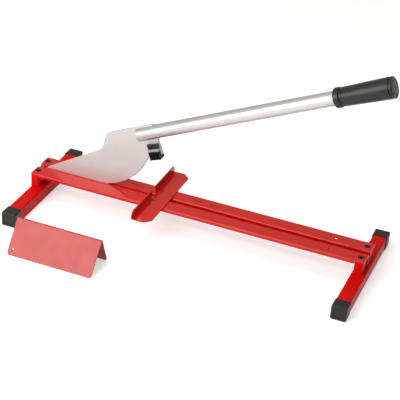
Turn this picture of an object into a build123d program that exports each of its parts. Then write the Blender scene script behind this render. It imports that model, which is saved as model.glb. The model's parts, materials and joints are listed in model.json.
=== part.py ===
from build123d import *
import os
from math import acos, asin, atan2, cos, degrees, hypot, radians, sin, sqrt

# Laminate cutter: a folded-steel table on two cross bars, a pivoting blade on a tube handle,
# a lift-out fence and a loose plank support. Millimetres, X along the table, Z up from the bench.
# The pieces are drawn about the middle between the cross bars and moved to the footprint's middle at the end.

# General
overrun = 5            # how far a cutting tool runs past the metal
part_fit = 0.1         # radial play of a bolt, rivet or tube in its hole, within one assembly
running_fit = 0.06     # radial play of the blade on its bush

# Cross bars and their end caps
bar_spread = 610       # between the bars' centre lines
bar_width = 25         # square tube
bar_wall = 1.5
bar_corner = 2.5
bar_length = 262
cap_wall = 1.25
cap_length = 22.5
cap_end_wall = 2.5
cap_corner = 3
cap_corner_ease = 0.3  # the cap's inner corners are this much tighter than the tube's
cap_edge_round = 1.8
cap_panel = 18.5        # shallow square sunk into the closed end
cap_panel_depth = 0.6

# Stubs between the bars and the rails
riser_width = 15
riser_height = 25
riser_wall = 1.5
riser_corner = 1.8
right_riser_inset = 6.5  # from the right bar's outer face

# Table rails
sheet = 2
bend_radius = 0.8      # inside radius of every fold in the table
rail_width = 29
slit_width = 10
slit_y = 7             # the slit runs behind the bars' middle
flange_depth = 7
web_depth = 22
rail_end_inset = 4     # from the right bar's outer face
notch_gap = 0.5
fix_line = 19          # from the slit's middle to the row of screws, holes and slots
accessory_hole = 5.5
accessory_hole_inset = 58.3  # from the right bar's centre line

# Spacer and shear bars in the slit
spacer_inset = 3.5
spacer_length = 7.5
spacer_height = 14
shear_bar = 2.5
shear_past_fence = 10.5
rivet_shank = 4
rivet_head = 7.5
rivet_head_height = 1.8
rivet_head_round = 1.2
rivet_shares = (0.28, 0.6, 0.93)

# Rail screws and their rivet nuts
screw_size = 6
screw_length = 36
screw_head = 11.3
screw_socket = 4
screw_socket_depth = 2.6
screw_recess = 0.7     # the heads sit this much below the table's face
nut_sleeve = 9
nut_flange = 11
nut_flange_height = 1
nut_length = 14
nut_bulge = 9.8
nut_bulge_height = 1.8

# Pivot
pivot_inset = 34.5     # from the left bar's outer face
pivot_drop = 14        # below the table's face
pivot_bolt_size = 8
pivot_hex = 13
pivot_head_height = 5.3
pivot_nut_height = 8
pivot_nut_collar = 2.6
pivot_nut_collar_round = 1.2
pivot_tail = 1.5
hex_chamfer = 0.8
washer_outer = 16
washer_thickness = 1.6
bush_outer = 12

# Lever: measured along and square to the handle, from the pivot, with the blade as photographed
lever_angle = 24.64
blade_thickness = 4
tip_radius = 22.6
tip_angle = 119.2
back_angle = 7.1       # the blade's upper edge against the handle
heel_radius = 11.5
belly_radius = 110
belly_reach = 118.5
belly_drop = 32.7
shoulder_reach = 137.4
shoulder_angle = 54
throat_round = 25
shoulder_round = 12
lug_reach = 232.5
lug_foot = 6
lug_round = 2
blade_proud = 2.2      # the plate stands out of the tube's upper side
grind_bevel = 1.2
handle_rise = 49.5
tube_outer = 25
tube_wall = 1.5
tube_start = 198
slot_reach = 236.5

# Grip: its walls are measured from the tube's surface
grip_start = 574.1
grip_length = 102.8
grip_end_wall = 6
collar_wall = 4.7
collar_length = 11
collar_round = 3.6
collar_groove_wall = 2
collar_groove_width = 2.8
grip_small_wall = 3.6
grip_large_wall = 5.8
end_groove_wall = 3.9
end_groove_width = 2.8
end_flange_length = 3.6
end_flange_round = 2
end_ring_reach = 1     # the ring in the end face is this much wider than the tube
end_ring_width = 1.4
end_ring_depth = 0.9
vent_hole = 3.6

# Stop buffer, drawn level with the blade down, from the middle of its lower face
buffer_reach = 217.7
buffer_width = 20
buffer_front = 10      # from the blade's middle plane
buffer_back = 8
pad_height = 15
pad_back_height = 18.5
pad_chamfer = 6
rib_count = 3
rib_pitch = 5.7
rib_groove = 2.6
clamp_leg = 2
clamp_foot_height = 5.5
clamp_foot_depth = 5.5
holder_width = 20.5
holder_height = 9.5
holder_depth = 5
holder_shift = 1.2     # the holder stands out towards the grip
holder_round = 0.8
cap_screw_size = 5
cap_screw_head = 8.5
cap_screw_head_height = 5
cap_screw_sink = 3
cap_screw_socket = 4
cap_screw_socket_depth = 2.6
cap_screw_offset = -2.5
cap_screw_chamfer = 0.4
cap_screw_tail = 1
lock_nut_hex = 8
lock_nut_height = 5

# Fence
fence_cut = 227        # from the left bar's outer face to the fence, which sets the widest plank
fence_width = 35
fence_length = 188.5
fence_height = 15
fence_corner = 8
fence_chamfer = 12
fence_notch = 16
fence_notch_reach = 6
fence_hole = 3.5       # the hole that the fence hung by for painting
fence_hole_inset = 12.5
fence_hole_end_inset = 14.5
tab_width = 2.4
tab_drop = 8
window_length = 11
window_width = 3.2
window_relief = 5.6
window_relief_width = 2
slot_length = 16
slot_width = 2.8
slot_corner = 0.5
slot_offsets = (-42.5, 7.5, 80.5, 112.5)  # slot middles, from the fence's cutting face

# Plank support
stand_length = 160
stand_left = 40.2      # from the left bar's centre line
stand_sheet = 2
stand_bend = 1.4
stand_ridge = 171      # in front of the bars' middle
stand_front_reach = 39.5
stand_back_reach = 22
stand_overrun_share = 0.3  # the panels are drawn this much longer and trimmed level
stand_foot_round = 5
stand_hole = 4
stand_hole_inset = 9
stand_hole_height = 9

# Levels and places that follow
bar_top = cap_wall + bar_width
table_height = bar_top + riser_height + sheet
outer_face = bar_spread / 2 + bar_width / 2
rail_left = -outer_face
rail_right = outer_face - rail_end_inset
left_riser_x = -outer_face + riser_width / 2
right_riser_x = outer_face - right_riser_inset - riser_width / 2
riser_places = {"left": left_riser_x, "right": right_riser_x}
side_places = {"front": -1, "rear": 1}
spacer_left = rail_left + spacer_inset
shear_left = spacer_left + spacer_length
fence_left = -outer_face + fence_cut
shear_right = fence_left + shear_past_fence
shear_gap = slit_width - 2 * shear_bar
pivot_x = -outer_face + pivot_inset
pivot_z = table_height - pivot_drop
grip_end = grip_start + grip_length
tube_end = grip_end - grip_end_wall
fence_top = table_height + sheet
closed_angle = degrees(asin((fence_top - pivot_z) / buffer_reach))

lever = Plane(
    origin=(pivot_x, slit_y, pivot_z),
    x_dir=(cos(radians(lever_angle)), 0, sin(radians(lever_angle))),
    z_dir=(0, -1, 0),
).location
buffer_place = Pos(buffer_reach, 0, 0) * Rot(0, 0, -closed_angle)


def across(side, distance):
    # Y of a line beside the slit's middle, towards the front (-1) or the rear (1)
    return slit_y + side * distance


def block(x_span, y_span, z_span):
    # box between three pairs of limits, given in any order
    spans = [sorted(span) for span in (x_span, y_span, z_span)]
    middle = [(low + high) / 2 for low, high in spans]
    size = [high - low for low, high in spans]
    return Pos(*middle) * Box(*size)


def hexagon(across_flats):
    return RegularPolygon(radius=across_flats / 2, side_count=6, major_radius=False)


def on_circle(centre, radius, angle):
    return (centre[0] + radius * cos(radians(angle)), centre[1] + radius * sin(radians(angle)))


def corner(face, point):
    # the vertex of a flat outline nearest to a point
    return face.vertices().sort_by_distance((point[0], point[1], 0))[0]


def folded_sheet(plane, corners, thickness, inside_radius, length):
    # sheet metal: a folded middle line given its thickness, then its length
    middle_line = FilletPolyline(*corners, radius=inside_radius + thickness / 2)
    return extrude(plane * trace(middle_line, line_width=thickness), amount=length)


def hex_solid(across_flats, height):
    # hexagon with the turned chamfer of a bolt head on its upper face
    prism = extrude(hexagon(across_flats), amount=height)
    tip_radius_of_hex = across_flats / sqrt(3)
    disc = Pos(0, 0, height / 2) * Cylinder(tip_radius_of_hex, height)
    rim = disc.edges().filter_by(GeomType.CIRCLE).sort_by(Axis.Z)[-1]
    return prism & chamfer(rim, hex_chamfer)


def cross_bar(x):
    outline = RectangleRounded(bar_width, bar_width, bar_corner)
    bore = RectangleRounded(bar_width - 2 * bar_wall, bar_width - 2 * bar_wall, bar_corner - bar_wall)
    tube = extrude(Plane.XZ * (outline - bore), amount=bar_length / 2, both=True)
    tube = Pos(x, 0, cap_wall + bar_width / 2) * tube
    riser_x = left_riser_x if x < 0 else right_riser_x
    for side in side_places.values():
        hole = Cylinder(nut_sleeve / 2 + part_fit, bar_wall + 2 * overrun)
        tube -= Pos(riser_x, across(side, fix_line), bar_top) * hole
    return tube


def end_cap(x, side):
    # slip-over cap, drawn with its closed end upwards and then laid on its side
    size = bar_width + 2 * cap_wall
    shell = extrude(RectangleRounded(size, size, cap_corner), amount=cap_length)
    shell = fillet(shell.faces().sort_by(Axis.Z)[-1].edges(), cap_edge_round)
    cavity = RectangleRounded(bar_width, bar_width, bar_corner - cap_corner_ease)
    shell -= extrude(cavity, amount=cap_length - cap_end_wall)
    panel = RectangleRounded(cap_panel, cap_panel, cap_corner)
    shell -= Pos(0, 0, cap_length) * extrude(panel, amount=-cap_panel_depth)
    mouth = bar_length / 2 + cap_end_wall - cap_length
    place = Plane(origin=(x, side * mouth, size / 2), x_dir=(1, 0, 0), z_dir=(0, side, 0))
    return place.location * shell


def riser(x, side):
    near = slit_width / 2 + sheet + bend_radius
    far = slit_width / 2 + rail_width
    depth = far - near
    outline = RectangleRounded(riser_width, depth, riser_corner)
    bore = RectangleRounded(riser_width - 2 * riser_wall, depth - 2 * riser_wall, riser_corner - riser_wall)
    stub = extrude(outline - bore, amount=riser_height)
    return Pos(x, across(side, (near + far) / 2), bar_top) * stub


def table_rail(side):
    near = slit_width / 2 + sheet / 2
    far = slit_width / 2 + rail_width - sheet / 2
    level = table_height - sheet / 2
    corners = [
        (across(side, far), table_height - flange_depth),
        (across(side, far), level),
        (across(side, near), level),
        (across(side, near), table_height - web_depth),
    ]
    start = Plane(origin=(rail_left, 0, 0), x_dir=(0, 1, 0), z_dir=(1, 0, 0))
    rail = folded_sheet(start, corners, sheet, bend_radius, rail_right - rail_left)
    rail -= flange_notches(side)
    rail -= rail_holes(side)
    rail -= web_holes(side)
    return rail


def flange_notches(side):
    # the flange is cut away where the risers stand flush with the rail's edge
    edge = slit_width / 2 + rail_width
    flange = (across(side, edge - sheet - bend_radius), across(side, edge + overrun))
    below = (table_height - flange_depth - overrun, table_height - sheet)
    reach = riser_width / 2 + notch_gap
    left = block((rail_left - overrun, left_riser_x + reach), flange, below)
    right = block((right_riser_x - reach, rail_right + overrun), flange, below)
    return left + right


def rail_holes(side):
    y = across(side, fix_line)
    head_radius = screw_head / 2 + part_fit
    cone_height = (screw_head - screw_size) / 2
    cutters = []
    for x in riser_places.values():
        sink = Cone(head_radius - cone_height, head_radius, cone_height)
        top = Pos(0, 0, cone_height / 2) * Cylinder(head_radius, screw_recess)
        cutters.append(Pos(x, y, table_height - screw_recess - cone_height / 2) * (sink + top))
        cutters.append(Pos(x, y, table_height) * Cylinder(screw_size / 2 + part_fit, 2 * overrun))
    for offset in slot_offsets:
        slot = extrude(RectangleRounded(slot_length, slot_width, slot_corner), amount=overrun, both=True)
        cutters.append(Pos(fence_left + offset, y, table_height) * slot)
    hole = Cylinder(accessory_hole / 2, 2 * overrun)
    cutters.append(Pos(bar_spread / 2 - accessory_hole_inset, y, table_height) * hole)
    return cutters


def web_holes(side):
    # bolt and rivet holes, which cross the web and the shear bar alike
    middle = across(side, slit_width / 2)
    cutters = [Pos(pivot_x, middle, pivot_z) * Rot(90, 0, 0) * Cylinder(pivot_bolt_size / 2 + part_fit, 2 * overrun)]
    for x in rivet_places():
        bore = Cylinder(rivet_shank / 2 + part_fit, 2 * overrun)
        cutters.append(Pos(x, middle, rivet_height()) * Rot(90, 0, 0) * bore)
    return cutters


def rivet_places():
    return [shear_left + share * (shear_right - shear_left) for share in rivet_shares]


def rivet_height():
    return table_height - web_depth / 2


def shear_bar_plate(side):
    plate = block(
        (shear_left, shear_right),
        (across(side, shear_gap / 2), across(side, slit_width / 2)),
        (table_height - web_depth, table_height),
    )
    return plate - web_holes(side)


def shear_bar_rivets():
    grip = shear_bar + sheet
    shank = Pos(0, 0, grip / 2) * Cylinder(rivet_shank / 2, grip)
    head = Pos(0, 0, grip + rivet_head_height / 2) * Cylinder(rivet_head / 2, rivet_head_height)
    rim = head.edges().filter_by(GeomType.CIRCLE).sort_by(Axis.Z)[-1]
    rivet = shank + fillet(rim, rivet_head_round)
    rivets = []
    for side in side_places.values():
        for x in rivet_places():
            start = Plane(origin=(x, across(side, shear_gap / 2), rivet_height()), z_dir=(0, side, 0))
            rivets.append(start.location * rivet)
    return rivets


def rail_spacer():
    return block(
        (spacer_left, shear_left),
        (across(-1, slit_width / 2), across(1, slit_width / 2)),
        (table_height - spacer_height, table_height),
    )


def at_rail_screws(piece):
    return [
        Pos(x, across(side, fix_line), 0) * piece
        for x in riser_places.values()
        for side in side_places.values()
    ]


def rail_screws():
    head_height = (screw_head - screw_size) / 2
    top = table_height - screw_recess
    shank = Pos(0, 0, top - screw_length / 2) * Cylinder(screw_size / 2, screw_length)
    head = Pos(0, 0, top - head_height / 2) * Cone(screw_size / 2, screw_head / 2, head_height)
    socket = extrude(hexagon(screw_socket), amount=screw_socket_depth)
    return at_rail_screws(shank + head - Pos(0, 0, top - screw_socket_depth) * socket)


def rail_rivet_nuts():
    flange = Pos(0, 0, bar_top + nut_flange_height / 2) * Cylinder(nut_flange / 2, nut_flange_height)
    sleeve = Pos(0, 0, bar_top - nut_length / 2) * Cylinder(nut_sleeve / 2, nut_length)
    bulge_top = bar_top - bar_wall
    bulge = Pos(0, 0, bulge_top - nut_bulge_height / 2) * Cylinder(nut_bulge / 2, nut_bulge_height)
    bore = Pos(0, 0, bar_top) * Cylinder(screw_size / 2 + part_fit, 2 * nut_length + overrun)
    return at_rail_screws(flange + sleeve + bulge - bore)


def facing(side, distance):
    # place on the pivot's line, looking outwards from the slit
    return Plane(origin=(pivot_x, across(side, distance), pivot_z), z_dir=(0, side, 0)).location


def pivot_bolt():
    stack = slit_width + 2 * sheet + 2 * washer_thickness
    length = stack + pivot_nut_height + pivot_tail
    seat = facing(-1, slit_width / 2 + sheet + washer_thickness)
    head = hex_solid(pivot_hex, pivot_head_height)
    shank = Pos(0, 0, -length / 2) * Cylinder(pivot_bolt_size / 2, length)
    tail = shank.edges().filter_by(GeomType.CIRCLE).sort_by(Axis.Z)[0]
    return seat * (head + chamfer(tail, hex_chamfer))


def pivot_nut():
    hexed = hex_solid(pivot_hex, pivot_nut_height - pivot_nut_collar)
    collar = Pos(0, 0, pivot_nut_height / 2) * Cylinder(pivot_hex / 2 - hex_chamfer, pivot_nut_height)
    rim = collar.edges().filter_by(GeomType.CIRCLE).sort_by(Axis.Z)[-1]
    nut = hexed + fillet(rim, pivot_nut_collar_round)
    nut -= Cylinder(pivot_bolt_size / 2 + part_fit, 2 * pivot_nut_height + overrun)
    return facing(1, slit_width / 2 + sheet + washer_thickness) * nut


def pivot_washers():
    ring = Circle(washer_outer / 2) - Circle(pivot_bolt_size / 2 + part_fit)
    washer = extrude(ring, amount=washer_thickness)
    return [facing(side, slit_width / 2 + sheet) * washer for side in side_places.values()]


def pivot_bush():
    ring = Circle(bush_outer / 2) - Circle(pivot_bolt_size / 2 + part_fit)
    return facing(1, -shear_gap / 2) * extrude(ring, amount=shear_gap)


def blade_outline():
    # heel about the pivot, straight underside, round belly, lug into the tube, and a hollow back to the tip
    belly_centre = (belly_reach, belly_radius - belly_drop)
    heading = degrees(atan2(belly_centre[1], belly_centre[0]))
    lean = heading - degrees(asin((belly_radius - heel_radius) / hypot(*belly_centre)))
    tip = on_circle((0, 0), tip_radius, tip_angle)
    toe_angle = tip_angle + degrees(acos(heel_radius / tip_radius))
    toe = on_circle((0, 0), heel_radius, toe_angle)
    heel_middle = on_circle((0, 0), heel_radius, (toe_angle + lean + 270) / 2)
    heel = on_circle((0, 0), heel_radius, lean - 90)
    belly_low = on_circle(belly_centre, belly_radius, lean - 90)
    foot_angle = -degrees(asin((belly_centre[1] - lug_foot) / belly_radius))
    belly_middle = on_circle(belly_centre, belly_radius, (lean - 90 + foot_angle) / 2)
    belly_high = on_circle(belly_centre, belly_radius, foot_angle)
    top = handle_rise + tube_outer / 2 + blade_proud
    shoulder = (shoulder_reach, top)
    throat = throat_corner(tip, shoulder)
    lug_top = (lug_reach, top)
    lug_bottom = (lug_reach, lug_foot)
    wires = [
        Line(tip, toe),
        ThreePointArc(toe, heel_middle, heel),
        Line(heel, belly_low),
        ThreePointArc(belly_low, belly_middle, belly_high),
        Polyline(belly_high, lug_bottom, lug_top, shoulder, throat, tip),
    ]
    outline = make_face(wires)
    outline = fillet(corner(outline, throat), throat_round)
    outline = fillet(corner(outline, shoulder), shoulder_round)
    outline = fillet(corner(outline, lug_top), lug_round)
    return fillet(corner(outline, lug_bottom), lug_round)


def throat_corner(tip, shoulder):
    # where the blade's upper edge meets the slope down from the shoulder
    back = (cos(radians(back_angle)), sin(radians(back_angle)))
    slope = (cos(radians(shoulder_angle)), sin(radians(shoulder_angle)))
    run = (shoulder[0] - tip[0], shoulder[1] - tip[1])
    along = (run[0] * slope[1] - run[1] * slope[0]) / (back[0] * slope[1] - back[1] * slope[0])
    return (tip[0] + along * back[0], tip[1] + along * back[1])


def blade():
    outline = blade_outline()
    plate = extrude(outline, amount=blade_thickness / 2, both=True)
    front = plate.faces().sort_by(Axis.Z)[-1]
    belly = front.edges().filter_by(GeomType.CIRCLE).sort_by(SortBy.RADIUS)[-1]
    plate = chamfer(belly, grind_bevel)
    plate -= Cylinder(bush_outer / 2 + running_fit, blade_thickness + 2 * overrun)
    plate -= buffer_place * cap_screw_hole()
    return lever * plate


def handle_tube():
    ring = Circle(tube_outer / 2) - Circle(tube_outer / 2 - tube_wall)
    along = Plane(origin=(tube_start, handle_rise, 0), z_dir=(1, 0, 0))
    tube = extrude(along * ring, amount=tube_end - tube_start)
    width = blade_thickness + 2 * part_fit
    slot_box = block(
        (tube_start - overrun, slot_reach - width / 2),
        (handle_rise - tube_outer, handle_rise + tube_outer),
        (-width / 2, width / 2),
    )
    slot_end = Pos(slot_reach - width / 2, handle_rise, 0) * Rot(90, 0, 0) * Cylinder(width / 2, 2 * tube_outer)
    return lever * (tube - slot_box - slot_end)


def grip():
    bore = tube_outer / 2 + part_fit
    collar_end = grip_start + collar_length
    body_start = collar_end + collar_groove_width
    flange_start = grip_end - end_flange_length
    body_end = flange_start - end_groove_width
    collar = tube_outer / 2 + collar_wall
    collar_groove = tube_outer / 2 + collar_groove_wall
    small = tube_outer / 2 + grip_small_wall
    large = tube_outer / 2 + grip_large_wall
    end_groove = tube_outer / 2 + end_groove_wall
    points = [
        (grip_start, bore),
        (grip_start, collar),
        (collar_end, collar),
        (collar_end, collar_groove),
        (body_start, collar_groove),
        (body_start, small),
        (body_end, large),
        (body_end, end_groove),
        (flange_start, end_groove),
        (flange_start, large),
        (grip_end, large),
        (grip_end, 0),
        (tube_end, 0),
        (tube_end, bore),
    ]
    profile = make_face(Polyline(*points, close=True))
    profile = fillet(corner(profile, points[1]), collar_round)
    profile = fillet(corner(profile, points[2]), collar_round / 2)
    profile = fillet(corner(profile, points[10]), end_flange_round)
    body = revolve(profile, axis=Axis.X)
    ring_radius = tube_outer / 2 + end_ring_reach
    ring = Circle(ring_radius) - Circle(ring_radius - end_ring_width)
    end = Plane(origin=(grip_end, 0, 0), z_dir=(1, 0, 0))
    body -= extrude(end * ring, amount=-end_ring_depth)
    body -= extrude(end * Circle(vent_hole / 2), amount=-grip_end_wall - overrun)
    return lever * Pos(0, handle_rise, 0) * body


def at_cap_screw(distance):
    # place on the cap screw's line, this far in front of the blade's middle plane
    return Pos(cap_screw_offset, pad_height + clamp_foot_height + holder_height / 2, distance)


def cap_screw_hole():
    return at_cap_screw(0) * Cylinder(cap_screw_size / 2 + part_fit, 2 * (buffer_front + buffer_back))


def buffer_pad():
    # rubber moulding that straddles the lug's foot, ribbed in front and taller behind
    half = buffer_width / 2
    front = block((-half, half), (0, pad_height), (0, buffer_front))
    back = block((-half, half), (0, pad_back_height), (0, -buffer_back))
    back = chamfer(back.edges().filter_by(Axis.Z).sort_by(Axis.Y)[-2:], pad_chamfer)
    pad = front + back
    for index in range(rib_count):
        x = (index - (rib_count - 1) / 2) * rib_pitch
        pad -= Pos(x, 0, buffer_front) * rib_cutter()
    plate = extrude(blade_outline(), amount=blade_thickness / 2 + part_fit, both=True)
    return lever * buffer_place * (pad - buffer_place.inverse() * plate)


def rib_cutter():
    # upright V groove between two ribs
    notch = make_face(Polyline((-rib_groove, 0), (rib_groove, 0), (0, -rib_groove), close=True))
    upright = Plane(origin=(0, -overrun, 0), x_dir=(-1, 0, 0), z_dir=(0, 1, 0))
    return extrude(upright * notch, amount=pad_height + 2 * overrun)


def buffer_clamp_plate():
    # steel plate on the lug with a thick foot, which shows as a bright band above the ribs
    half = buffer_width / 2
    face = blade_thickness / 2
    top = pad_height + clamp_foot_height + holder_height
    leg = block((-half, half), (pad_height, top), (face, face + clamp_leg))
    foot_top = pad_height + clamp_foot_height
    foot = block((-half, half), (pad_height, foot_top), (face, face + clamp_foot_depth))
    return lever * buffer_place * (leg + foot - cap_screw_hole())


def buffer_holder():
    # moulded block over the clamp plate, counterbored for the cap screw
    back = blade_thickness / 2 + clamp_leg
    middle = (holder_shift, pad_height + clamp_foot_height + holder_height / 2, back + holder_depth / 2)
    holder = Box(holder_width, holder_height, holder_depth)
    face_edges = holder.faces().sort_by(Axis.Z)[-1].edges()
    holder = Pos(*middle) * fillet(face_edges, holder_round)
    sink = Cylinder(cap_screw_head / 2 + part_fit, 2 * cap_screw_sink)
    holder -= at_cap_screw(back + holder_depth) * sink
    return lever * buffer_place * (holder - cap_screw_hole())


def buffer_screw():
    seat = blade_thickness / 2 + clamp_leg + holder_depth - cap_screw_sink
    length = seat + blade_thickness / 2 + lock_nut_height + cap_screw_tail
    head = Pos(0, 0, cap_screw_head_height / 2) * Cylinder(cap_screw_head / 2, cap_screw_head_height)
    rim = head.edges().filter_by(GeomType.CIRCLE).sort_by(Axis.Z)[-1]
    head = chamfer(rim, cap_screw_chamfer)
    shank = Pos(0, 0, -length / 2) * Cylinder(cap_screw_size / 2, length)
    socket = extrude(hexagon(cap_screw_socket), amount=cap_screw_head_height)
    screw = head + shank - Pos(0, 0, cap_screw_head_height - cap_screw_socket_depth) * socket
    return lever * buffer_place * at_cap_screw(seat) * screw


def buffer_nut():
    nut = hex_solid(lock_nut_hex, lock_nut_height)
    nut -= Cylinder(cap_screw_size / 2 + part_fit, 2 * lock_nut_height + overrun)
    return lever * buffer_place * at_cap_screw(-blade_thickness / 2) * Rot(180, 0, 0) * nut


def fence():
    level = table_height + sheet / 2
    corners = [
        (fence_left + fence_width, level),
        (fence_left + sheet / 2, level),
        (fence_left + sheet / 2, table_height + fence_height),
    ]
    start = Plane(origin=(0, slit_y + fence_length / 2, 0), x_dir=(1, 0, 0), z_dir=(0, -1, 0))
    angle = folded_sheet(start, corners, sheet, bend_radius, fence_length)
    top_ends = angle.faces().sort_by(Axis.Z)[-1].edges().filter_by(Axis.X)
    angle = fillet(top_ends, fence_corner)
    base_ends = angle.faces().sort_by(Axis.X)[-1].edges().filter_by(Axis.Z)
    angle = chamfer(base_ends, fence_chamfer)
    angle -= fence_notch_cutter()
    hole_x = fence_left + fence_width - fence_hole_inset
    hole_y = slit_y + fence_length / 2 - fence_hole_end_inset
    angle -= Pos(hole_x, hole_y, table_height) * Cylinder(fence_hole / 2, 2 * fence_height)
    for side in side_places.values():
        angle -= tab_window(side)
        angle += fence_tab(side)
    return angle


def fence_notch_cutter():
    # the blade drops into this notch, which runs down the upright and into the base
    radius = fence_notch / 2
    slot_end = fence_left + fence_notch_reach
    sides = (slit_y - radius, slit_y + radius)
    heights = (table_height - overrun, table_height + fence_height + overrun)
    upright = block((fence_left - overrun, fence_left + sheet + bend_radius), sides, heights)
    round_end = Pos(slot_end - radius, slit_y, table_height) * Cylinder(radius, 2 * fence_height)
    return upright + round_end


def tab_window(side):
    # what is left open where a tab was lanced out of the base, with relief at its free end
    start = fence_left + sheet + bend_radius
    y = across(side, fix_line)
    heights = (table_height - overrun, table_height + sheet + overrun)
    neck = block((start, start + window_length), (y - window_width / 2, y + window_width / 2), heights)
    relief = block(
        (start + window_length - window_relief_width, start + window_length),
        (y - window_relief / 2, y + window_relief / 2),
        heights,
    )
    return neck + relief


def fence_tab(side):
    y = across(side, fix_line)
    return block(
        (fence_left, fence_left + sheet),
        (y - tab_width / 2, y + tab_width / 2),
        (table_height - tab_drop, fence_top + bend_radius),
    )


def support_stand():
    height = table_height
    longer = 1 + stand_overrun_share
    corners = [
        (-stand_ridge - stand_front_reach * longer, height - height * longer),
        (-stand_ridge, height),
        (-stand_ridge + stand_back_reach * longer, height - height * longer),
    ]
    left = -bar_spread / 2 + stand_left
    start = Plane(origin=(left, 0, 0), x_dir=(0, 1, 0), z_dir=(1, 0, 0))
    plate = folded_sheet(start, corners, stand_sheet, stand_bend, stand_length)
    plate = Pos(0, 0, height - plate.bounding_box().max.Z) * plate
    reach = (-stand_ridge - 2 * stand_front_reach, -stand_ridge + 2 * stand_front_reach)
    plate -= block((left - overrun, left + stand_length + overrun), reach, (-2 * overrun - height, 0))
    for x, inward in ((left, 1), (left + stand_length, -1)):
        plate -= foot_rounding(x, inward, reach)
    hole = Rot(90, 0, 0) * Cylinder(stand_hole / 2, 2 * stand_front_reach)
    return plate - Pos(left + stand_hole_inset, -stand_ridge - stand_front_reach, stand_hole_height) * hole


def foot_rounding(x, inward, reach):
    # what a rounded lower corner leaves outside, across both panels
    centre = x + inward * stand_foot_round
    square = block((x - inward * overrun, centre), reach, (-overrun, stand_foot_round))
    round_bar = Pos(centre, -stand_ridge, stand_foot_round) * Rot(90, 0, 0)
    return square - round_bar * Cylinder(stand_foot_round, 4 * stand_front_reach)


def pieces():
    nodes = {}
    for name, side in side_places.items():
        nodes[f"{name}_rail"] = table_rail(side)
        nodes[f"{name}_shear_bar"] = shear_bar_plate(side)
        for end, x in riser_places.items():
            nodes[f"{end}_{name}_riser"] = riser(x, side)
            bar_x = -bar_spread / 2 if end == "left" else bar_spread / 2
            nodes[f"{end}_{name}_end_cap"] = end_cap(bar_x, side)
    nodes["left_cross_bar"] = cross_bar(-bar_spread / 2)
    nodes["right_cross_bar"] = cross_bar(bar_spread / 2)
    makers = [
        shear_bar_rivets, rail_spacer, rail_screws, rail_rivet_nuts,
        pivot_bolt, pivot_nut, pivot_washers, pivot_bush,
        blade, handle_tube, grip,
        buffer_pad, buffer_clamp_plate, buffer_holder, buffer_screw, buffer_nut,
        fence, support_stand,
    ]
    for maker in makers:
        nodes[maker.__name__] = maker()
    return nodes


def write_parts(nodes):
    # one file per piece, with the origin moved to the middle of the footprint
    os.makedirs("parts", exist_ok=True)
    shapes = {name: Compound(children=piece) if isinstance(piece, list) else piece for name, piece in nodes.items()}
    box = Compound(children=[Compound(shape.solids()) for shape in shapes.values()]).bounding_box()
    shift = Pos(-(box.min.X + box.max.X) / 2, -(box.min.Y + box.max.Y) / 2, 0)
    for name, shape in shapes.items():
        export_step(shift * Compound(shape.solids()), os.path.join("parts", f"{name}.step"))
    print("box", box.min, box.max)
    print("shift", shift.position)
    print("pivot", (shift * Pos(pivot_x, slit_y, pivot_z)).position)
    print("closed angle", closed_angle, "stroke", lever_angle - closed_angle)


write_parts(pieces())
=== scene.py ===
import json
import bmesh
import bpy
import numpy as np
from mathutils import Matrix, Vector

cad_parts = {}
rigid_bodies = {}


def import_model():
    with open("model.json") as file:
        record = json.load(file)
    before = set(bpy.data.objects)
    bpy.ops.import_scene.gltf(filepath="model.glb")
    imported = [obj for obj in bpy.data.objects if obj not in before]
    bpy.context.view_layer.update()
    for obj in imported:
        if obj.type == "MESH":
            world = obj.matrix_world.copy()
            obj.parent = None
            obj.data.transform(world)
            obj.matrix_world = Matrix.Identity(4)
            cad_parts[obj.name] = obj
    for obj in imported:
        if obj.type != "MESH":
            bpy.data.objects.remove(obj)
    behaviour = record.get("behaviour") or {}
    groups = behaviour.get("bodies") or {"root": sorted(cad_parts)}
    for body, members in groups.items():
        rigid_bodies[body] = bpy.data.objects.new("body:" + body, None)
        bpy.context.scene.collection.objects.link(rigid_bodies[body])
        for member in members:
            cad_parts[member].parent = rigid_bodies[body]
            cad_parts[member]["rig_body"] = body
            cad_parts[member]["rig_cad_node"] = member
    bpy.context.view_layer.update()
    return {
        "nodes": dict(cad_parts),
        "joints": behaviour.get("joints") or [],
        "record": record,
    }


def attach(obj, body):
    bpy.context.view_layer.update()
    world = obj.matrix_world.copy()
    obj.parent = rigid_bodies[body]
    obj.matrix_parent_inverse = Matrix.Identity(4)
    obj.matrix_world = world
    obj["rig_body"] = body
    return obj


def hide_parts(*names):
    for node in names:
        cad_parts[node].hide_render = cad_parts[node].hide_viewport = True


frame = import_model()
nodes = frame["nodes"]
record = frame["record"]
bodyOf = {name: body for body, names in record["behaviour"]["bodies"].items() for name in names}
slotOf = {part["node"]: part["material_slot"] for part in record["subparts"]}
hinge = next(joint for joint in frame["joints"] if joint["type"] == "hinge")
mm = 0.001
print("frame loaded,", len(nodes), "pieces")

# the lever at rest: x along the handle, y square to it, z towards the front, from the pivot
leverPlace = {"tilt": 24.64, "pivot": hinge["pos_m"]}


def leverMatrix():
    tilt = np.radians(leverPlace["tilt"])
    along = (np.cos(tilt), 0, np.sin(tilt))
    square = (-np.sin(tilt), 0, np.cos(tilt))
    turned = Matrix((along, square, (0, -1, 0))).transposed().to_4x4()
    return Matrix.Translation(leverPlace["pivot"]) @ turned


def placed(points, matrix):
    # points carried from a piece's own axes into the frame
    return points @ np.array(matrix.to_3x3()).T + np.array(matrix.translation)


# Materials


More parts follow.
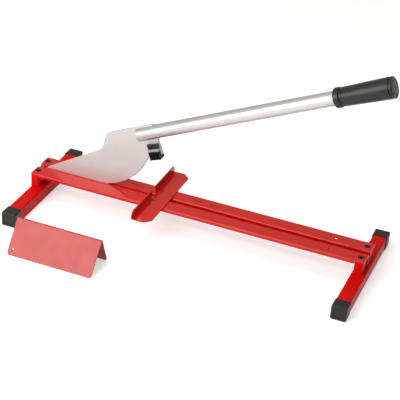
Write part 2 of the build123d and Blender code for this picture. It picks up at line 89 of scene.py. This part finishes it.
class Recipe:
    # a material whose patterns all read the object's own coordinates, in metres

    def __init__(self, name, turn=(0, 0, 0), stretch=(1, 1, 1)):
        # two mappings, because the grain is turned onto its direction first and stretched along it after
        self.material = bpy.data.materials.new(name)
        self.material.use_nodes = True
        self.tree = self.material.node_tree
        self.shader = self.tree.nodes["Principled BSDF"]
        self.plain = self.node("ShaderNodeTexCoord").outputs["Object"]
        mapping = self.node("ShaderNodeMapping")
        mapping.inputs["Rotation"].default_value = turn
        grain = self.node("ShaderNodeMapping")
        grain.inputs["Scale"].default_value = stretch
        self.link(self.plain, mapping.inputs["Vector"])
        self.link(mapping.outputs["Vector"], grain.inputs["Vector"])
        self.grained = grain.outputs["Vector"]
        self.relief = None

    def node(self, kind, **settings):
        made = self.tree.nodes.new(kind)
        for key, value in settings.items():
            setattr(made, key, value)
        return made

    def link(self, source, target):
        self.tree.links.new(source, target)

    def noise(self, scale, detail, grained=False, rough=0.5):
        made = self.node("ShaderNodeTexNoise")
        made.inputs["Scale"].default_value = scale
        made.inputs["Detail"].default_value = detail
        made.inputs["Roughness"].default_value = rough
        self.link(self.grained if grained else self.plain, made.inputs["Vector"])
        return made.outputs["Fac"]

    def spread(self, source, fromLow, fromHigh, toLow, toHigh):
        # one range carried onto another, and held inside it
        made = self.node("ShaderNodeMapRange")
        made.inputs["From Min"].default_value = fromLow
        made.inputs["From Max"].default_value = fromHigh
        made.inputs["To Min"].default_value = toLow
        made.inputs["To Max"].default_value = toHigh
        self.link(source, made.inputs["Value"])
        return made.outputs["Result"]

    def blend(self, factor, first, second):
        # a colour socket or a plain colour on either side
        made = self.node("ShaderNodeMix", data_type="RGBA")
        self.link(factor, made.inputs["Factor"])
        for value, socket in ((first, made.inputs["A"]), (second, made.inputs["B"])):
            if isinstance(value, tuple):
                socket.default_value = (*value, 1)
            else:
                self.link(value, socket)
        return made.outputs["Result"]

    def edges(self, radius, low, high, most):
        # how far the rounded normal leans from the true one: 0 on a face, the most along its edges
        bevel = self.node("ShaderNodeBevel", samples=6)
        bevel.inputs["Radius"].default_value = radius
        geometry = self.node("ShaderNodeNewGeometry")
        dot = self.node("ShaderNodeVectorMath", operation="DOT_PRODUCT")
        self.link(bevel.outputs["Normal"], dot.inputs[0])
        self.link(geometry.outputs["Normal"], dot.inputs[1])
        return self.spread(dot.outputs["Value"], 1 - low, 1 - high, 0, most)

    def bump(self, height, depth):
        made = self.node("ShaderNodeBump")
        made.inputs["Distance"].default_value = depth
        made.inputs["Strength"].default_value = 1
        self.link(height, made.inputs["Height"])
        if self.relief:
            self.link(self.relief, made.inputs["Normal"])
        self.relief = made.outputs["Normal"]

    def finish(self, colour, roughness, constants):
        self.link(colour, self.shader.inputs["Base Color"])
        self.link(roughness, self.shader.inputs["Roughness"])
        self.link(self.relief, self.shader.inputs["Normal"])
        for name, value in constants.items():
            self.shader.inputs[name].default_value = value
        return self.material


# in the three finishes a noise's scale is in patches per metre, and a range is the part of it that shows;
# the scale of a metal's lines is also multiplied by its stretch
paintFinish = {
    "patches": {"scale": 14, "detail": 3}, "patchRange": (0.35, 0.7), "patchMix": 0.35,
    "sheen": {"scale": 60, "detail": 3}, "sheenRange": (0.3, 0.75),
    "peel": {"scale": 420, "detail": 1}, "peelDepth": 9e-6,
    "grain": {"scale": 1900, "detail": 1}, "grainDepth": 3e-6,
    "edgeRadius": 0.5 * mm, "edgeLean": (0.02, 0.3), "edgeMix": 0.3,
}


def paint(name, colour, shade, edge, roughness, specular):
    # powder coat: slow change of shade, orange peel, fine grain, and a darker line along the edges
    made = Recipe(name)
    finish = paintFinish
    patches = made.spread(made.noise(**finish["patches"]), *finish["patchRange"], 0, finish["patchMix"])
    body = made.blend(patches, colour, shade)
    rims = made.edges(finish["edgeRadius"], *finish["edgeLean"], finish["edgeMix"])
    gloss = made.spread(made.noise(**finish["sheen"]), *finish["sheenRange"], *roughness)
    made.bump(made.noise(**finish["peel"]), finish["peelDepth"])
    made.bump(made.noise(**finish["grain"]), finish["grainDepth"])
    return made.finish(made.blend(rims, body, edge), gloss, {"Specular IOR Level": specular})


steelFinish = {
    "lines": {"scale": 1, "detail": 4, "grained": True, "rough": 0.65}, "lineRange": (0.3, 0.7),
    "clouds": {"scale": 22, "detail": 4}, "cloudRange": (0.35, 0.75),
    "edgeRadius": 0.6 * mm, "edgeLean": (0.02, 0.3), "edgeMix": 0.6,
}


def brushed(name, colour, shade, edge, roughness, metallic, turn, stretch, depth):
    # metal with fine lines along one direction, faint clouding, and edges of another shade
    made = Recipe(name, turn, stretch)
    finish = steelFinish
    lines = made.noise(**finish["lines"])
    clouds = made.spread(made.noise(**finish["clouds"]), *finish["cloudRange"], 0, 1)
    body = made.blend(clouds, colour, shade)
    rims = made.edges(finish["edgeRadius"], *finish["edgeLean"], finish["edgeMix"])
    gloss = made.spread(lines, *finish["lineRange"], *roughness)
    made.bump(lines, depth)
    return made.finish(made.blend(rims, body, edge), gloss, {"Metallic": metallic})


mouldFinish = {
    "scuffs": {"scale": 75, "detail": 5, "rough": 0.7}, "scuffRange": (0.52, 0.72), "scuffMix": 0.6,
    "sheen": {"scale": 40, "detail": 3}, "sheenRange": (0.3, 0.75),
    "pebbles": {"scale": 1300, "detail": 2}, "pebbleDepth": 1.2e-5,
    "edgeRadius": 0.8 * mm, "edgeLean": (0.03, 0.4), "edgeMix": 0.45,
}


def moulded(name, colour, scuff, edge, roughness, specular):
    # black plastic or rubber: fine pebbled grain, dry scuffs, and paler rubbed edges
    made = Recipe(name)
    finish = mouldFinish
    scuffs = made.spread(made.noise(**finish["scuffs"]), *finish["scuffRange"], 0, finish["scuffMix"])
    body = made.blend(scuffs, colour, scuff)
    rims = made.edges(finish["edgeRadius"], *finish["edgeLean"], finish["edgeMix"])
    gloss = made.spread(made.noise(**finish["sheen"]), *finish["sheenRange"], *roughness)
    made.bump(made.noise(**finish["pebbles"]), finish["pebbleDepth"])
    return made.finish(made.blend(rims, body, edge), gloss, {"Specular IOR Level": specular})


handleTurn = (0, np.radians(leverPlace["tilt"]), 0)  # brings the handle's direction onto x
evenGrain = {"metallic": 1.0, "turn": (0, 0, 0), "stretch": (300, 300, 300), "depth": 1.6e-6}
paints = {
    "railRed": {
        "colour": (0.62, 0.004, 0.002), "shade": (0.54, 0.003, 0.002), "edge": (0.22, 0.003, 0.002),
        "roughness": (0.12, 0.18), "specular": 0.38,
    },
    "barRed": {
        "colour": (0.66, 0.003, 0.002), "shade": (0.55, 0.002, 0.002), "edge": (0.34, 0.003, 0.003),
        "roughness": (0.34, 0.46), "specular": 0.08,
    },
    # the stand's red paint: the pink tint in these colours is partly the paint's own and partly painted sheen
    "standRed": {
        "colour": (0.47, 0.040, 0.040), "shade": (0.41, 0.032, 0.032), "edge": (0.22, 0.010, 0.009),
        "roughness": (0.36, 0.46), "specular": 0.5,
    },
}
metals = {
    "bladeSteel": {
        "colour": (0.65, 0.645, 0.64), "shade": (0.61, 0.605, 0.60), "edge": (0.40, 0.395, 0.39),
        "roughness": (0.42, 0.52), "metallic": 0.55,
        "turn": handleTurn, "stretch": (9, 700, 700), "depth": 2e-7,
    },
    "tubeAluminium": {
        "colour": (0.58, 0.58, 0.58), "shade": (0.54, 0.54, 0.54), "edge": (0.42, 0.42, 0.42),
        "roughness": (0.32, 0.40), "metallic": 0.9,
        "turn": handleTurn, "stretch": (6, 900, 900), "depth": 2e-7,
    },
    "zincSteel": {
        "colour": (0.50, 0.50, 0.51), "shade": (0.40, 0.40, 0.42), "edge": (0.62, 0.62, 0.62),
        "roughness": (0.30, 0.44), **evenGrain,
    },
    "bushBronze": {
        "colour": (0.50, 0.33, 0.15), "shade": (0.40, 0.26, 0.12), "edge": (0.6, 0.42, 0.2),
        "roughness": (0.35, 0.5), **evenGrain,
    },
    "blackSteel": {
        "colour": (0.05, 0.05, 0.05), "shade": (0.03, 0.03, 0.03), "edge": (0.3, 0.3, 0.3),
        "roughness": (0.25, 0.4), **evenGrain,
    },
}
plastics = {
    "gripRubber": {
        "colour": (0.008, 0.008, 0.009), "scuff": (0.016, 0.016, 0.017), "edge": (0.035, 0.035, 0.035),
        "roughness": (0.30, 0.40), "specular": 0.42,
    },
    "capPlastic": {
        "colour": (0.012, 0.011, 0.011), "scuff": (0.026, 0.024, 0.024), "edge": (0.06, 0.055, 0.055),
        "roughness": (0.40, 0.55), "specular": 0.35,
    },
    "bufferRubber": {
        "colour": (0.003, 0.003, 0.003), "scuff": (0.007, 0.007, 0.007), "edge": (0.020, 0.020, 0.020),
        "roughness": (0.45, 0.6), "specular": 0.2,
    },
}
finishes = {}
for maker, looks in ((paint, paints), (brushed, metals), (moulded, plastics)):
    for name, look in looks.items():
        finishes[name] = maker(name, **look)

slotFinish = {
    "red_paint": "railRed", "black_plastic": "capPlastic", "zinc_steel": "zincSteel",
    "bush_bronze": "bushBronze", "black_steel": "blackSteel", "blade_steel": "bladeSteel",
    "tube_aluminium": "tubeAluminium", "grip_rubber": "gripRubber", "buffer_rubber": "bufferRubber",
}
nodeFinish = {"support_stand": "standRed"}
for name in nodes:
    if "cross_bar" in name or "riser" in name:
        nodeFinish[name] = "barRed"


def finishOf(name):
    # a node's own finish, or else the one of its slot in the record
    return finishes[nodeFinish.get(name, slotFinish[slotOf[name]])]


for name, piece in nodes.items():
    for holder in piece.material_slots:
        holder.material = finishOf(name)
print("materials made,", len(finishes))

# Pieces


def meshPiece(name, points, faces, node):
    # one closed surface that stands for a node
    mesh = bpy.data.meshes.new(name)
    mesh.from_pydata(points.tolist(), [], faces)
    mesh.update()
    piece = bpy.data.objects.new(name, mesh)
    bpy.context.scene.collection.objects.link(piece)
    adopt(piece, node)


def adopt(piece, node):
    # gives a new piece the finish and body of the node that it stands for, and hides the node
    piece.data.materials.clear()
    piece.data.materials.append(finishOf(node))
    piece.data.polygons.foreach_set("use_smooth", np.ones(len(piece.data.polygons), bool))
    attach(piece, bodyOf[node])
    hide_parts(node)


def roundedLine(corners, radii, steps):
    # a line through corners, each rounded by an arc: tangent points a distance r / tan(half the corner's
    # angle) from it, and between them the circle about the point on the corner's bisector
    corners = np.array(corners, float)
    line = [corners[:1]]
    for before, here, after, radius in zip(corners, corners[1:], corners[2:], radii):
        back = (before - here) / np.linalg.norm(before - here)
        ahead = (after - here) / np.linalg.norm(after - here)
        half = np.arccos(np.clip(back @ ahead, -1, 1)) / 2
        sweep = np.pi - 2 * half
        bisector = (back + ahead) / np.linalg.norm(back + ahead)
        centre = here + bisector * radius / np.sin(half)
        start = here + back * radius / np.tan(half) - centre
        end = here + ahead * radius / np.tan(half) - centre
        share = np.linspace(0, 1, steps)[:, None]
        arc = np.sin((1 - share) * sweep) * start + np.sin(share * sweep) * end
        line.append(centre + arc / np.sin(sweep))
    line.append(corners[-1:])
    return np.concatenate(line)


def gridFaces(rows, columns):
    # quads of a grid that closes on itself both ways
    row, column = np.meshgrid(np.arange(rows), np.arange(columns), indexing="ij")
    here, below = row * columns, (row + 1) % rows * columns
    beside = (column + 1) % columns
    quads = np.stack([here + column, here + beside, below + beside, below + column], axis=-1)
    return quads.reshape(-1, 4).tolist()


def turnedSurface(profile, columns):
    # a closed profile (distance along the axis x, radius r) carried round the axis: y = r cos v, z = r sin v
    angle = np.linspace(0, 2 * np.pi, columns, endpoint=False)
    along = np.repeat(profile[:, :1], columns, axis=1)
    radius = profile[:, 1:]
    points = np.stack([along, radius * np.cos(angle), radius * np.sin(angle)], axis=-1).reshape(-1, 3)
    return points, gridFaces(len(profile), columns)


# in mm: start and tubeEnd lie along the handle from the pivot, and rise is how far off it the tube's axis is;
# bore, collar, groove, small, large, endGroove, ring and vent are radii
gripShape = {
    "start": 574.1, "length": 102.8, "rise": 49.5,
    "bore": 12.6, "tubeEnd": 670.9,
    "collar": 17.2, "collarLength": 11, "collarRound": 3.6,
    "groove": 14.5, "grooveWidth": 2.8,
    "small": 16.1, "large": 18.3, "endGroove": 16.4, "endGrooveWidth": 2.8, "flange": 3.6, "endRound": 2,
    "ring": (13.5, 12.1), "ringDepth": 0.9, "vent": 1.8, "edge": 0.4,
    "arcSteps": 7, "columns": 128,
}


def gripSurface():
    # a profile turned about the handle's axis: collar, groove, swelling body, groove, end flange and end face
    g = gripShape
    collarEnd = g["start"] + g["collarLength"]
    bodyStart = collarEnd + g["grooveWidth"]
    end = g["start"] + g["length"]
    flangeStart = end - g["flange"]
    bodyEnd = flangeStart - g["endGrooveWidth"]
    outer, inner = g["ring"]
    edge = g["edge"]
    corners = [
        (g["tubeEnd"], g["bore"]), (g["start"], g["bore"]),
        (g["start"], g["collar"]), (collarEnd, g["collar"]), (collarEnd, g["groove"]),
        (bodyStart, g["groove"]), (bodyStart, g["small"]), (bodyEnd, g["large"]),
        (bodyEnd, g["endGroove"]), (flangeStart, g["endGroove"]), (flangeStart, g["large"]),
        (end, g["large"]), (end, outer), (end - g["ringDepth"], outer),
        (end - g["ringDepth"], inner), (end, inner), (end, g["vent"]), (g["tubeEnd"], g["vent"]),
    ]
    radii = [
        edge, g["collarRound"], g["collarRound"] / 2, edge, edge, 2 * edge, 2 * edge, edge, edge,
        2 * edge, g["endRound"], edge / 2, edge / 4, edge / 4, edge / 2, edge,
    ]
    return turnedSurface(roundedLine(corners, radii, g["arcSteps"]), g["columns"])


def gripPiece():
    points, faces = gripSurface()
    points[:, 1] += gripShape["rise"]
    meshPiece("gripRubber", placed(points * mm, leverMatrix()), faces, "grip")


gripPiece()
print("grip made")


# how far each piece's sharp edges are rolled over, in mm
easedEdges = {
    "front_rail": 0.18, "rear_rail": 0.18, "fence": 0.25, "support_stand": 0.35,
    "front_shear_bar": 0.2, "rear_shear_bar": 0.2, "rail_spacer": 0.3,
    "blade": 0.25, "handle_tube": 0.3,
    "buffer_pad": 0.1, "buffer_clamp_plate": 0.2, "buffer_holder": 0.2,
}
easing = {"mergeWithin": 0.002 * mm, "flatWithin": 0.3, "sharpFrom": 35, "segments": 2}  # angles in degrees


# in mm: hole and recess are radii, recessTop is a height, and near is how close a point has to come to them
countersink = {
    "hole": 3.1, "recess": 5.75, "recessTop": 52.9, "near": 0.02,
    "screwX": (-310, 303.5), "screwY": {"front_rail": 27.655, "rear_rail": 65.655},
}


def openCountersinks(mesh, node):
    # the hole over each screw head is widened to the recess below it: about the screw's line, every point
    # above the recess at a distance of the hole's radius moves straight out to the recess's radius
    c = countersink
    points = np.empty(len(mesh.vertices) * 3)
    mesh.vertices.foreach_get("co", points)
    points = points.reshape(-1, 3)
    high = points[:, 2] > (c["recessTop"] - c["near"]) * mm
    for x in c["screwX"]:
        centre = np.array((x, c["screwY"][node])) * mm
        away = points[:, :2] - centre
        rim = high & (np.abs(np.linalg.norm(away, axis=1) - c["hole"] * mm) < c["near"] * mm)
        points[rim, :2] = centre + away[rim] * c["recess"] / c["hole"]
    mesh.vertices.foreach_set("co", points.ravel())


def refillTop(mesh):
    # the rail's top face is divided anew between its outline and its holes, as wider holes fold some of it
    level = max(point.co.z for point in mesh.verts) - countersink["near"] * mm
    top = {face for face in mesh.faces if all(point.co.z > level for point in face.verts)}
    edges = {edge for face in top for edge in face.edges}
    rims = [edge for edge in edges if len(top.intersection(edge.link_faces)) == 1]
    bmesh.ops.delete(mesh, geom=list(top), context="FACES")
    rims.sort(key=lambda edge: tuple(edge.verts[0].co) + tuple(edge.verts[1].co))
    bmesh.ops.triangle_fill(mesh, use_beauty=True, edges=rims, normal=(0, 0, 1))


def easedCopy(node, radius):
    # the node's own faces, joined and with every sharp edge rolled over, as deburring and paint leave it
    piece = nodes[node].copy()
    piece.data = nodes[node].data.copy()
    piece.name = node + "_eased"
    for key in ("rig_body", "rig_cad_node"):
        if key in piece:
            del piece[key]
    bpy.context.scene.collection.objects.link(piece)
    countersunk = node in countersink["screwY"]
    if countersunk:
        openCountersinks(piece.data, node)
    mesh = bmesh.new()
    mesh.from_mesh(piece.data)
    bmesh.ops.remove_doubles(mesh, verts=mesh.verts, dist=easing["mergeWithin"])
    if countersunk:
        refillTop(mesh)
    flat = np.radians(easing["flatWithin"])
    bmesh.ops.dissolve_limit(mesh, angle_limit=flat, verts=mesh.verts, edges=mesh.edges)
    mesh.to_mesh(piece.data)
    mesh.free()
    bevel = piece.modifiers.new("edges", "BEVEL")
    bevel.width = radius * mm
    bevel.segments = easing["segments"]
    bevel.limit_method = "ANGLE"
    bevel.angle_limit = np.radians(easing["sharpFrom"])
    bevel.use_clamp_overlap = False
    weighted = piece.modifiers.new("shading", "WEIGHTED_NORMAL")
    weighted.keep_sharp = False
    adopt(piece, node)


for node, radius in easedEdges.items():
    easedCopy(node, radius)
print("edges eased on", len(easedEdges), "pieces")

# Room, light and camera


# floorSize is in m; leftSide and rightSide are shares of the sky's light on each side; skyFrom and skyTo
# are where its colour starts and stops changing: 0 at the horizon, 1 overhead
studio = {
    "floorSize": 9, "floorColour": (0.80, 0.80, 0.80), "floorRoughness": 0.9, "floorGlow": 0.5,
    "skyLow": (0.60, 0.56, 0.47), "skyHigh": (0.52, 0.52, 0.53), "skyFrom": 0.45, "skyTo": 0.95,
    "ambient": 0.75, "leftSide": 1.25, "rightSide": 0.6,
}


def floorPiece():
    # a flat square; its glow is seen by the camera, in reflections and through clear material alone
    size = studio["floorSize"] / 2
    points = np.array([(-size, -size, 0), (size, -size, 0), (size, size, 0), (-size, size, 0)], float)
    mesh = bpy.data.meshes.new("floor")
    mesh.from_pydata(points.tolist(), [], [(0, 1, 2, 3)])
    floor = bpy.data.objects.new("floor", mesh)
    bpy.context.scene.collection.objects.link(floor)
    material = bpy.data.materials.new("floorPaper")
    material.use_nodes = True
    tree = material.node_tree
    shader = tree.nodes["Principled BSDF"]
    shader.inputs["Base Color"].default_value = (*studio["floorColour"], 1)
    shader.inputs["Roughness"].default_value = studio["floorRoughness"]
    shader.inputs["Specular IOR Level"].default_value = 0
    glow = tree.nodes.new("ShaderNodeEmission")
    both = tree.nodes.new("ShaderNodeAddShader")
    amount = tree.nodes.new("ShaderNodeMath")
    amount.operation = "MULTIPLY"
    amount.inputs[1].default_value = studio["floorGlow"]
    tree.links.new(seenByEye(tree), amount.inputs[0])
    tree.links.new(amount.outputs[0], glow.inputs["Strength"])
    tree.links.new(shader.outputs[0], both.inputs[0])
    tree.links.new(glow.outputs[0], both.inputs[1])
    tree.links.new(both.outputs[0], tree.nodes["Material Output"].inputs["Surface"])
    mesh.materials.append(material)


def seenByEye(tree):
    # 1 for rays that come from the camera, from a reflection or through clear material, else 0
    path = tree.nodes.new("ShaderNodeLightPath")
    total = path.outputs["Is Camera Ray"]
    for ray in ("Is Glossy Ray", "Is Transmission Ray"):
        more = tree.nodes.new("ShaderNodeMath")
        more.operation = "MAXIMUM"
        tree.links.new(total, more.inputs[0])
        tree.links.new(path.outputs[ray], more.inputs[1])
        total = more.outputs[0]
    return total


def skyWorld():
    # pale studio walls that dim towards the ceiling and the right; other rays get a dimmer level
    world = bpy.data.worlds.new("studio")
    world.use_nodes = True
    bpy.context.scene.world = world
    tree = world.node_tree
    back = tree.nodes["Background"]
    coordinates = tree.nodes.new("ShaderNodeTexCoord")
    apart = tree.nodes.new("ShaderNodeSeparateXYZ")
    tree.links.new(coordinates.outputs["Generated"], apart.inputs[0])
    ramp = tree.nodes.new("ShaderNodeValToRGB")
    low, high = ramp.color_ramp.elements
    low.position, low.color = studio["skyFrom"], (*studio["skyLow"], 1)
    high.position, high.color = studio["skyTo"], (*studio["skyHigh"], 1)
    tree.links.new(apart.outputs["Z"], ramp.inputs["Fac"])
    sides = tree.nodes.new("ShaderNodeMapRange")
    sides.inputs["From Min"].default_value = -1
    sides.inputs["To Min"].default_value = studio["leftSide"]
    sides.inputs["To Max"].default_value = studio["rightSide"]
    tree.links.new(apart.outputs["X"], sides.inputs["Value"])
    tinted = tree.nodes.new("ShaderNodeVectorMath")
    tinted.operation = "SCALE"
    tree.links.new(ramp.outputs["Color"], tinted.inputs[0])
    tree.links.new(sides.outputs["Result"], tinted.inputs["Scale"])
    tree.links.new(tinted.outputs["Vector"], back.inputs["Color"])
    level = tree.nodes.new("ShaderNodeMapRange")
    level.inputs["To Min"].default_value = studio["ambient"]
    level.inputs["To Max"].default_value = 1
    tree.links.new(seenByEye(tree), level.inputs["Value"])
    tree.links.new(level.outputs["Result"], back.inputs["Strength"])


# from is the direction from the origin to the lamp; distance and size in m, power in W
lamps = {
    "key": {"from": (-0.366, -0.737, 0.554), "distance": 1.75, "size": 1.25, "power": 22.6},
    "top": {"from": (-0.10, -0.10, 0.99), "distance": 2.2, "size": 1.6, "power": 14},
}


def lamp(name, shape):
    light = bpy.data.lights.new(name, "AREA")
    light.shape = "SQUARE"
    light.size = shape["size"]
    light.energy = shape["power"]
    holder = bpy.data.objects.new(name, light)
    direction = Vector(shape["from"]).normalized()
    holder.location = direction * shape["distance"]
    holder.rotation_euler = direction.to_track_quat("Z", "Y").to_euler()
    holder.visible_camera = False
    bpy.context.scene.collection.objects.link(holder)


# place in m, angles in degrees, lens and sensor in mm
photoCamera = {
    "place": (0.6934, -1.875445, 1.2828), "azimuth": 19.848, "elevation": 30.718, "roll": 4.491,
    "lens": 121.51, "sensor": 36,
}


def cameraPiece():
    # looks down by the elevation, from the azimuth, with the horizon tipped by the roll
    azimuth, elevation, roll = np.radians([photoCamera[key] for key in ("azimuth", "elevation", "roll")])
    ahead = np.array([-np.sin(azimuth), np.cos(azimuth), 0])
    away = np.cos(elevation) * ahead - np.array([0, 0, np.sin(elevation)])
    level = np.array([np.cos(azimuth), np.sin(azimuth), 0])
    upright = np.cross(level, away)
    right = np.cos(roll) * level + np.sin(roll) * upright
    up = -np.sin(roll) * level + np.cos(roll) * upright
    data = bpy.data.cameras.new("photoCamera")
    data.lens = photoCamera["lens"]
    data.sensor_width = photoCamera["sensor"]
    camera = bpy.data.objects.new("photoCamera", data)
    turned = Matrix((right, up, -away)).transposed().to_4x4()
    camera.matrix_world = Matrix.Translation(photoCamera["place"]) @ turned
    bpy.context.scene.collection.objects.link(camera)
    bpy.context.scene.camera = camera


floorPiece()
skyWorld()
for name, shape in lamps.items():
    lamp(name, shape)
cameraPiece()
bpy.context.scene.view_settings.view_transform = "Standard"
print("studio ready")
